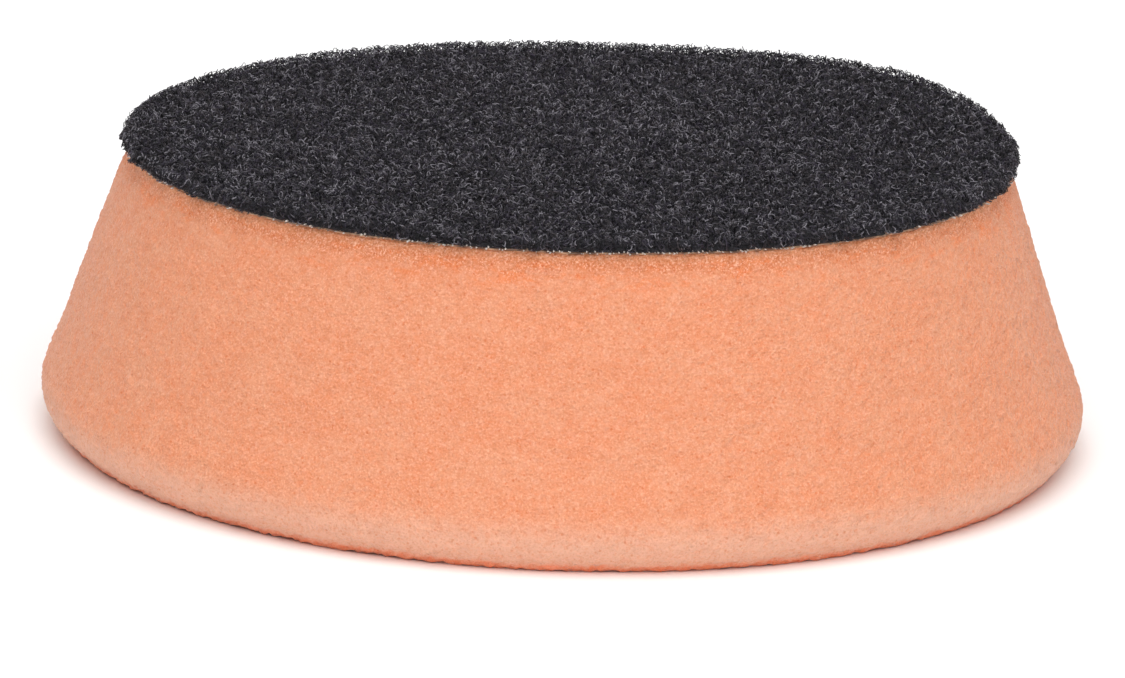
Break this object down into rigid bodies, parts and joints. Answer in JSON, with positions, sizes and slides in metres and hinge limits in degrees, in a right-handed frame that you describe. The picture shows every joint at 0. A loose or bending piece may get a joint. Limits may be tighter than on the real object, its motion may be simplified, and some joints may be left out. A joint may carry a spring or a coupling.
{
  "type": "polishing pad",
  "caption": "Low conical foam polishing pad with a bevelled working face and a hook-and-loop fabric disc bonded to its narrow side.",
  "frame": {"origin": "centre of the flat working face, on the surface that the pad stands on", "axes": "+Z along the pad's axis, from the working face towards the loop face; the part is round, so X and Y are free"},
  "size_m": [0.09, 0.09, 0.0261],
  "materials": {
    "foam": "open-cell polyurethane foam, cut and matte, peach orange",
    "adhesive": "thin hot-melt film, translucent, squeezed out at the rim",
    "ground_knit": "warp-knitted ground cloth, matte black",
    "loop_pile": "brushed nylon loop pile, charcoal, slight sheen on single fibres"
  },
  "bodies": {
    "foam": {"foam_pad": "foam"},
    "backing": {"adhesive_film": "adhesive", "loop_cloth": "ground_knit", "loop_pile": "loop_pile"}
  },
  "joints": [
    {"name": "foam_press", "type": "slide", "parent": "foam", "child": "backing", "axis": [0, 0, -1], "range_m": [0, 0.006], "stiffness_N_per_m": 5000, "deforming": ["foam_pad"]}
  ]
}
